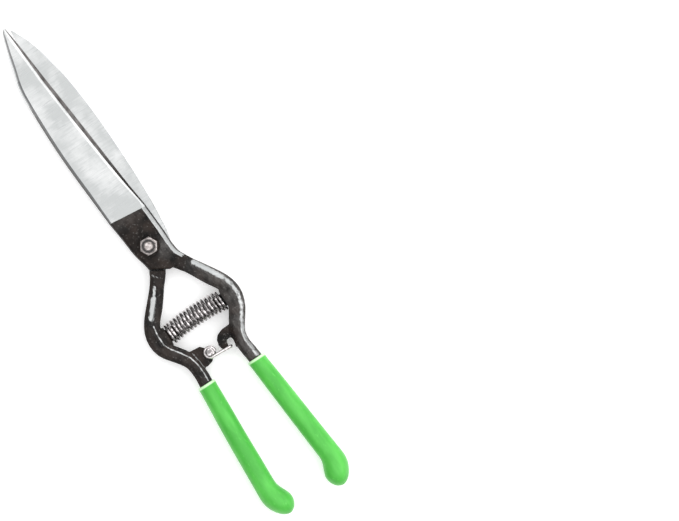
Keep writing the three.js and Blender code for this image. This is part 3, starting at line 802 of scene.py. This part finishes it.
@dataclass
class ForgedHalf:
    """One forged half: a ground blade, and the black plate, shank, latch piece and tang."""

    half: Half
    node: str
    sleeve_node: str
    # Lines of bare steel: partly rubbed skin, partly painted highlights.
    rubbed: tuple[RubbedLine, ...]
    # Share of painted sheen along the shank, larger on the front half, where light falls.
    thin_shank: float
    ground_start: float = 22.55
    ground_slope: float = -0.11
    seam_overlap: float = 3.0
    facing_gap: float = 0.2
    blade_rounding: float = 0.12
    sharp_angle: float = 18.0
    # The two slopes pick the blade's steep faces that keep the black skin. It also paints the dark line of
    # shade along the blade, and on the cutting edge side the shadow between the blades.
    spine_slope: float = 0.62
    edge_slope: float = 0.85
    hone_slope: float = 0.972
    # The spine's bare and bright spans and the greying span fade that painted dark line towards the tip.
    bare_spine: tuple[float, float] = (95.0, 128.0)
    bright_spine: float = 126.0
    thin_edge: tuple[float, float] = (35.0, 75.0)
    voxel: float = 0.36
    skin_rounds: int = 5
    tang_in_sleeve: float = 6.0
    plate_end: tuple[float, float] = (-17.5, -14.5)
    latch_middle: tuple[float, float] = (8.0, -71.5)
    # Grey patch beside the nut: part wear, part painted highlight.
    rubbed_patch: tuple[float, float] = (8.5, -5.5)

    @property
    def slope(self) -> float:
        """Slope of the ground line as seen from +Z."""
        return self.half.side * self.ground_slope

    def ground_line(self) -> tuple[Vector, Vector]:
        """A point on the ground line's plane and its normal, towards the tip."""
        return Vector((0, self.ground_start * MM, 0)), Vector((-self.slope, 1, 0)).normalized()

    def blade(self, finishes: Finishes) -> bpy.types.Object:
        """Cuts the ground blade from the forging and gives its steep sides the black skin, which also
        paints the dark line of shade along the blade's sides.

        It is rounded while it is longer than needed, so that its cut end stays sharp.

        Args:
            finishes: The built materials.

        Returns:
            The blade.
        """
        piece = copy_of_node(self.node, f"{self.half.stem}_blade")
        point, normal = self.ground_line()
        cut_away(piece, point - normal * self.seam_overlap * MM, -normal)
        apply_modifier(piece, "DECIMATE", decimate_type="DISSOLVE", angle_limit=math.radians(0.05))
        apply_modifier(piece, "BEVEL", width=self.blade_rounding * MM, segments=2, limit_method="ANGLE",
                       angle_limit=math.radians(self.sharp_angle))
        cut_away(piece, point, -normal)
        smooth_by_angle(piece, 30)
        apply_modifier(piece, "WEIGHTED_NORMAL", keep_sharp=True)
        dress(piece, finishes.ground, finishes.forged, finishes.honed)
        # Steep faces keep the black skin, which also paints the dark edge line of shade. Flatter faces on
        # the cutting edge side take it too, to paint the shadow in the gap between the blades, and spine
        # faces near the tip take honed steel, so the painted line stops there.
        for face in piece.data.polygons:
            rise, sideways = abs(face.normal.z), face.normal.x * self.half.side
            along = abs(face.normal.y) > 0.5
            if rise < self.spine_slope or (rise < self.edge_slope and sideways > 0.45 and not along):
                face.material_index = 1
            elif rise < self.hone_slope and sideways > 0.2:
                face.material_index = 2
            if sideways < -0.3 and face.center.y > self.bright_spine * MM:
                face.material_index = 2
        # Towards the tip the spine goes bare and the skin greys, fading the painted dark line.
        points, normals = points_and_normals(piece)
        spine = smooth_step(-self.half.side * normals[:, 0], 0.0, 0.2)
        store(piece, "bare", spine * (0.15 + 1.1 * smooth_step(points[:, 1], *self.bare_spine)))
        store(piece, "thin", smooth_step(points[:, 1], *self.thin_edge))
        seat(piece, self.half.value, self.node)
        return piece

    def shank(self, finishes: Finishes) -> bpy.types.Object:
        """Cuts plate, shank and latch piece from the forging and rounds them as a forging is.

        The remesh and the smoothing run past the ground line, so that the seam has no groove.

        Args:
            finishes: The built materials.

        Returns:
            The shank with its plate.
        """
        piece = copy_of_node(self.node, f"{self.half.stem}_shank")
        point, normal = self.ground_line()
        cut_away(piece, point + normal * self.seam_overlap * MM, normal)
        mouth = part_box(self.sleeve_node)[1].y - self.tang_in_sleeve * MM
        cut_away(piece, Vector((0, mouth, 0)), Vector((0, -1, 0)))
        apply_modifier(piece, "REMESH", mode="VOXEL", voxel_size=self.voxel * MM)
        apply_modifier(piece, "SMOOTH", factor=0.5, iterations=self.skin_rounds)
        points, normals = points_and_normals(piece)
        store(piece, "bare", self.bare(points, normals))
        store(piece, "thin", self.thin(points))
        cut_away(piece, point, normal)
        smooth_by_angle(piece, 50)
        dress(piece, finishes.forged)
        seat(piece, self.half.value, self.node)
        return piece

    def bare(self, points: np.ndarray, normals: np.ndarray) -> np.ndarray:
        """How far the skin is ground or worn off, at each point; the worn lines are partly painted
        highlights.

        Args:
            points: Points in millimetres.
            normals: Their normals.

        Returns:
            0 for whole skin, 1 and more for bare steel.
        """
        out = self.half.side * (points[:, 2] - MATING_HEIGHT)
        face_out = self.half.side * normals[:, 2]
        sideways = self.half.side * normals[:, 0]
        plate = smooth_step(points[:, 1], *self.plate_end)
        bevel = plate * smooth_step(sideways, 0.16, 0.36) * smooth_step(face_out, 0.6, 0.75)
        bevel *= smooth_step(self.half.side * points[:, 0], 6, 7)
        mating = smooth_step(-face_out, 0.35, 0.65)
        mating *= 1 - smooth_step(abs(out - 0.5 * self.facing_gap), 0.3, 0.6)
        wear = 1.2 * np.maximum(bevel, mating)
        for line in self.rubbed:
            wear = np.maximum(wear, line.worn(points, normals))
        return wear

    def thin(self, points: np.ndarray) -> np.ndarray:
        """How far the skin is greyed, at each point: mostly a painted sheen along the shanks and about the
        bright lines, partly rubbed skin, and beside the nut part wear and part painted highlight.

        Args:
            points: Points in millimetres.

        Returns:
            0 for black skin, 1 for grey.
        """
        flat = points[:, :2] * (self.half.side, 1)
        off_latch = smooth_step(np.linalg.norm(flat - self.latch_middle, axis=1), 6, 10)
        beside_nut = 1 - smooth_step(np.linalg.norm(flat - self.rubbed_patch, axis=1), 1, 10)
        # Grey along the shank is mostly a painted sheen where light falls.
        along_shank = smooth_step(-points[:, 1], 14, 34) * off_latch
        upward = np.tile((0.0, 0.0, 1.0), (len(points), 1))
        for line in self.rubbed:
            # Broad grey about each bright line is a painted sheen.
            along_shank += replace(line, half_width=3.2, strength=0.7).worn(points, upward) * off_latch
        near_blade = smooth_step(points[:, 1], self.ground_start - 9, self.ground_start)
        on_plate = np.maximum(0.5 * beside_nut, 0.2 * near_blade)
        return 0.03 + np.maximum(self.thin_shank * along_shank, on_plate)

    def build(self, finishes: Finishes) -> list[bpy.types.Object]:
        """Builds the half's two pieces."""
        return [self.blade(finishes), self.shank(finishes)]


# ---------------------------------------------------------------- grip sleeves


@dataclass(frozen=True)
class Section:
    """One oval section of a sleeve, square to Y, in millimetres."""

    along: float
    centre_x: float
    half_width: float
    half_height: float


@dataclass
class GripSleeve:
    """A dip-moulded sleeve with a rolled lip, a hollow mouth and a rounded knob at its end."""

    half: Half
    node: str
    sides: int = 28
    knob_length: float = 24.0
    body_steps: int = 8
    knob_steps: int = 15
    wall: float = 1.2
    mouth_depth: float = 5.0
    lip_swell: float = 0.3
    lip_length: float = 1.6

    def cut(self, along: float, swell: float = 0.0) -> Section:
        """Measures the CAD sleeve's section.

        Args:
            along: Where to cut, as a Y value.
            swell: What to add to its half width and half height.

        Returns:
            The section.
        """
        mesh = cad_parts[self.node].data
        points = np.array([corner.co for corner in mesh.vertices]) / MM
        edges = np.array([edge.vertices[:] for edge in mesh.edges])
        first, second = points[edges[:, 0]], points[edges[:, 1]]
        crossing = (first[:, 1] - along) * (second[:, 1] - along) < 0
        first, second = first[crossing], second[crossing]
        share = (along - first[:, 1]) / (second[:, 1] - first[:, 1])
        rim = first + share[:, None] * (second - first)
        low, high = rim.min(axis=0), rim.max(axis=0)
        width, depth = 0.5 * (high - low)[0], 0.5 * (high - low)[2]
        return Section(along, 0.5 * (high + low)[0], width + swell, depth + swell)

    def sections(self) -> list[Section]:
        """Lists the sections from deep in the mouth, out over the lip and along to the knob.

        Returns:
            The sections in the order that they are drawn out.
        """
        low, high = (corner.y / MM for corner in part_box(self.node))
        rim = self.cut(high - 0.1)
        deep = replace(rim, along=high - self.mouth_depth, half_width=rim.half_width - self.wall,
                       half_height=rim.half_height - self.wall)
        half_wall = 0.5 * self.wall
        lip = [deep, replace(deep, along=high - 0.6),
               replace(rim, along=high, half_width=rim.half_width - half_wall,
                       half_height=rim.half_height - half_wall),
               replace(self.cut(high - 0.55, self.lip_swell), along=high - 0.55),
               self.cut(high - self.lip_length, self.lip_swell), self.cut(high - 1.7 * self.lip_length)]
        knob_start = low + self.knob_length
        body = [self.cut(along) for along in np.linspace(high - 6, knob_start, self.body_steps)]
        turns = [0.5 * math.pi * step / self.knob_steps for step in range(1, self.knob_steps)]
        knob = [self.cut(low + self.knob_length * (1 - math.sin(turn))) for turn in turns]
        return lip + body + knob

    def build(self, finishes: Finishes) -> list[bpy.types.Object]:
        """Draws the sleeve out ring by ring and rounds it.

        Args:
            finishes: The built materials.

        Returns:
            The sleeve, alone in a list.
        """
        first, *others = self.sections()
        bpy.ops.mesh.primitive_circle_add(vertices=self.sides, radius=MM, fill_type="NGON",
                                          rotation=(math.radians(90), 0, 0))
        piece = bpy.context.active_object
        piece.name = f"{self.half.stem}_grip"
        bpy.ops.object.transform_apply(location=False, rotation=True, scale=False)
        bpy.ops.object.mode_set(mode="EDIT")
        bpy.ops.mesh.select_mode(type="EDGE")
        bpy.ops.mesh.select_all(action="SELECT")
        self.move_ring(Section(0, 0, 1, 1), first)
        ring = first
        for section in others:
            bpy.ops.mesh.extrude_edges_indiv()
            self.move_ring(ring, section)
            ring = section
        bpy.ops.mesh.extrude_edges_indiv()
        bpy.ops.mesh.merge(type="CENTER")
        bpy.ops.mesh.select_all(action="SELECT")
        bpy.ops.mesh.normals_make_consistent(inside=False)
        bpy.ops.object.mode_set(mode="OBJECT")
        apply_modifier(piece, "SUBSURF", levels=2, render_levels=2)
        select_only(piece)
        bpy.ops.object.shade_smooth()
        dress(piece, finishes.vinyl)
        points, _ = points_and_normals(piece)
        # The lip value marks the open end for its painted highlight.
        store(piece, "lip", smooth_step(points[:, 1], points[:, 1].max() - 1.9, points[:, 1].max() - 1.1))
        seat(piece, self.half.value, self.node)
        return [piece]

    @staticmethod
    def move_ring(start: Section, end: Section) -> None:
        """Scales and moves the selected ring.

        Args:
            start: The section that it is now. The first circle, at Y = 0, is round the origin.
            end: The section that it becomes.
        """
        middle = Vector((start.centre_x, start.along, MATING_HEIGHT)) * MM
        if start.along == 0:
            middle = Vector()
        wider, taller = end.half_width / start.half_width, end.half_height / start.half_height
        bpy.ops.transform.resize(value=(wider, 1, taller), center_override=middle)
        bpy.ops.transform.translate(value=Vector((end.centre_x, end.along, MATING_HEIGHT)) * MM - middle)


# ---------------------------------------------------------------- wire parts


@dataclass
class ReturnSpring:
    """Open coil spring between the shanks, close wound at its ends and bowed towards the pivot."""

    outer: float = 13.4
    wire: float = 1.7
    turns: float = 15.5
    end_turns: float = 1.0
    close_pitch: float = 1.95
    reach: float = 18.65
    seat_x: float = 20.0
    seat_y: float = -51.5
    bow: float = 1.6
    steps_per_turn: int = 28

    def path(self) -> list[Vector]:
        """Points along the wire.

        Returns:
            The points in metres, from the rear half's seat to the front half's.
        """
        radius = 0.5 * (self.outer - self.wire)
        free = self.turns - 2 * self.end_turns
        pitch = 2 * (self.reach - self.end_turns * self.close_pitch) / free
        points = []
        for step in range(round(self.turns * self.steps_per_turn) + 1):
            turn = step / self.steps_per_turn
            early = min(turn, self.end_turns)
            late = max(turn - (self.turns - self.end_turns), 0)
            x = -self.reach + (early + late) * self.close_pitch + (turn - early - late) * pitch
            bow = self.bow * (1 - (x / self.seat_x) ** 2)
            angle = 2 * math.pi * turn
            points.append(Vector((x, self.seat_y + bow + radius * math.cos(angle),
                                  MATING_HEIGHT + radius * math.sin(angle))) * MM)
        return points

    def build(self, finishes: Finishes) -> list[bpy.types.Object]:
        """Winds the spring between the two halves.

        Args:
            finishes: The built materials.

        Returns:
            The spring, alone in a list.
        """
        piece = bar_along("coil_spring", self.path(), 0.5 * self.wire, 16)
        dress(piece, finishes.spring)
        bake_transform(piece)
        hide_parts("return_spring")
        return [piece]


@dataclass
class LatchBail:
    """Bent wire that hooks the handles together, with an eye at each end round the rivet."""

    pin: tuple[float, float] = (-4.5, -73.5)
    reach: tuple[float, float] = (12.7, -3.8)
    wire: float = 2.0
    bend: float = 1.6
    eye_radius: float = 3.05
    eye_turn: float = 284.0
    leg_height: float = 3.5
    eye_steps: int = 28
    bend_steps: int = 10

    def path(self) -> list[Vector]:
        """Points along the wire.

        Returns:
            The points in metres: upper eye, upper leg, cross bar, lower leg and lower eye.
        """
        leg = math.atan2(self.reach[1] + self.eye_radius, self.reach[0])
        along, side = Vector((math.cos(leg), math.sin(leg), 0)), leg - math.pi / 2
        upper = []
        for step in range(self.eye_steps + 1):
            angle = side - math.radians(self.eye_turn) * (1 - step / self.eye_steps)
            upper.append(Vector((self.eye_radius * math.cos(angle), self.eye_radius * math.sin(angle),
                                 self.leg_height)))
        length = self.reach[0] / math.cos(leg) - self.eye_radius * math.sin(leg)
        corner = upper[-1] + along * length
        upper += [upper[-1].lerp(corner, share) for share in (0.25, 0.5, 0.75)]
        for step in range(self.bend_steps + 1):
            turn = 0.5 * math.pi * step / self.bend_steps
            upper.append(corner + self.bend * (math.sin(turn) - 1) * along
                         + Vector((0, 0, self.bend * (math.cos(turn) - 1))))
        lower = [Vector((point.x, point.y, -point.z)) for point in reversed(upper)]
        middle = Vector((*self.pin, MATING_HEIGHT))
        return [(middle + point) * MM for point in upper + lower]

    def build(self, finishes: Finishes) -> list[bpy.types.Object]:
        """Bends the bail.

        Args:
            finishes: The built materials.

        Returns:
            The bail, alone in a list.
        """
        piece = bar_along("wire_bail", self.path(), 0.5 * self.wire, 20)
        dress(piece, finishes.wire)
        seat(piece, "latch_bail", "latch_bail")
        return [piece]


# ---------------------------------------------------------------- studio


@dataclass
class Studio:
    """Pale floor, soft lights and the camera."""

    frame_width: float = 407.4
    aim: tuple[float, float] = (91.0, -70.3)
    turn: float = -33.4
    lens: float = 300.0
    room: float = 0.42
    backdrop: float = 0.8
    floor_glow: float = 0.25
    floor_gap: float = 0.05

    def floor(self) -> None:
        """Lays a pale floor under the shears."""
        bpy.ops.mesh.primitive_plane_add(size=12, location=(0, 0, cad_bounds[0].z - self.floor_gap * MM))
        floor = bpy.context.active_object
        floor.name = "floor"
        material = bpy.data.materials.new("floor_white")
        material.use_nodes = True
        shader = material.node_tree.nodes["Principled BSDF"]
        shader.inputs["Base Color"].default_value = (0.96, 0.96, 0.96, 1)
        shader.inputs["Roughness"].default_value = 0.9
        shader.inputs["Specular IOR Level"].default_value = 0.1
        shader.inputs["Emission Color"].default_value = (1, 1, 1, 1)
        shader.inputs["Emission Strength"].default_value = self.floor_glow
        dress(floor, material)

    def lamp(self, name: str, place: tuple[float, float, float], size: float, brightness: float) -> None:
        """Adds a square soft light that faces the shears.

        Args:
            name: The light's name.
            place: Its middle, in metres to the camera's right, up in its view and above the floor.
            size: Its side, in metres.
            brightness: Brightness of its face, where 1 is white.
        """
        spot = Vector(place)
        spot.rotate(Euler((0, 0, math.radians(self.turn))))
        bpy.ops.object.light_add(type="AREA", location=spot)
        lamp = bpy.context.active_object
        lamp.name = name
        lamp.data.size = size
        lamp.data.energy = brightness * math.pi * size * size
        lamp.rotation_euler = (-spot).to_track_quat("-Z", "Y").to_euler()

    def lights(self) -> None:
        """Sets a dim room with a pale backdrop, an overhead panel and two side panels."""
        world = bpy.data.worlds.new("studio")
        bpy.context.scene.world = world
        world.use_nodes = True
        sheet = NodeSheet(world.node_tree)
        background = world.node_tree.nodes["Background"]
        background.inputs["Color"].default_value = (1, 1, 1, 1)
        seen = sheet.add("ShaderNodeLightPath").outputs["Is Camera Ray"]
        Finish.spread(sheet, seen, self.room, self.backdrop, background.inputs["Strength"])
        self.lamp("overhead", (0.35, 0.2, 2.0), 4.0, 1.5)
        self.lamp("right_panel", (2.2, 0.2, 1.25), 1.4, 1.7)
        self.lamp("far_panel", (1.1, 2.1, 0.95), 1.6, 1.3)

    def camera(self) -> None:
        """Looks straight down from far off, turned so that the blades point up and to the left."""
        bpy.ops.object.camera_add()
        camera = bpy.context.active_object
        camera.data.lens = self.lens
        distance = self.frame_width * MM * self.lens / camera.data.sensor_width
        camera.location = (self.aim[0] * MM, self.aim[1] * MM, cad_bounds[1].z + distance)
        camera.rotation_euler = (0, 0, math.radians(self.turn))
        camera.data.clip_end = 3 * distance
        bpy.context.scene.camera = camera

    def build(self) -> None:
        """Builds floor, lights and camera, and keeps the colours as they are lit."""
        self.floor()
        self.lights()
        self.camera()
        bpy.context.scene.view_settings.view_transform = "Standard"


def main() -> None:
    """Builds the shears' pieces in order and reports each one."""
    logging.basicConfig(level=logging.INFO, format="%(name)s: %(message)s")
    finishes = Finishes.build()
    assemblies = (
        # The front shank takes more painted sheen, as light falls on it.
        ForgedHalf(Half.FRONT, "front_forging", "front_grip_sleeve", FRONT_WEAR_AND_HIGHLIGHTS, 0.26),
        ForgedHalf(Half.REAR, "rear_forging", "rear_grip_sleeve", REAR_WEAR_AND_HIGHLIGHTS, 0.06),
        GripSleeve(Half.FRONT, "front_grip_sleeve"),
        GripSleeve(Half.REAR, "rear_grip_sleeve"),
        ReturnSpring(),
        LatchBail(),
    )
    pieces = [piece for assembly in assemblies for piece in assembly.build(finishes)]
    for node, width in (("pivot_bolt", 0.25), ("pivot_nut", 0.2)):
        dress(soften_node(node, width), finishes.plated)
    dress(soften_node("latch_rivet", 0.15), finishes.spring)
    for node in ("front_spring_peg", "rear_spring_peg"):
        dress(soften_node(node, 0.2), finishes.forged)
    dress(soften_node("nut_washer", 0.15), finishes.forged)
    dress(soften_node("nut_lock_ring", 0.1), finishes.nylon)
    for piece in pieces:
        LOG.info("%s: %d faces", piece.name, len(piece.data.polygons))
    Studio().build()


if __name__ == "__main__":
    main()
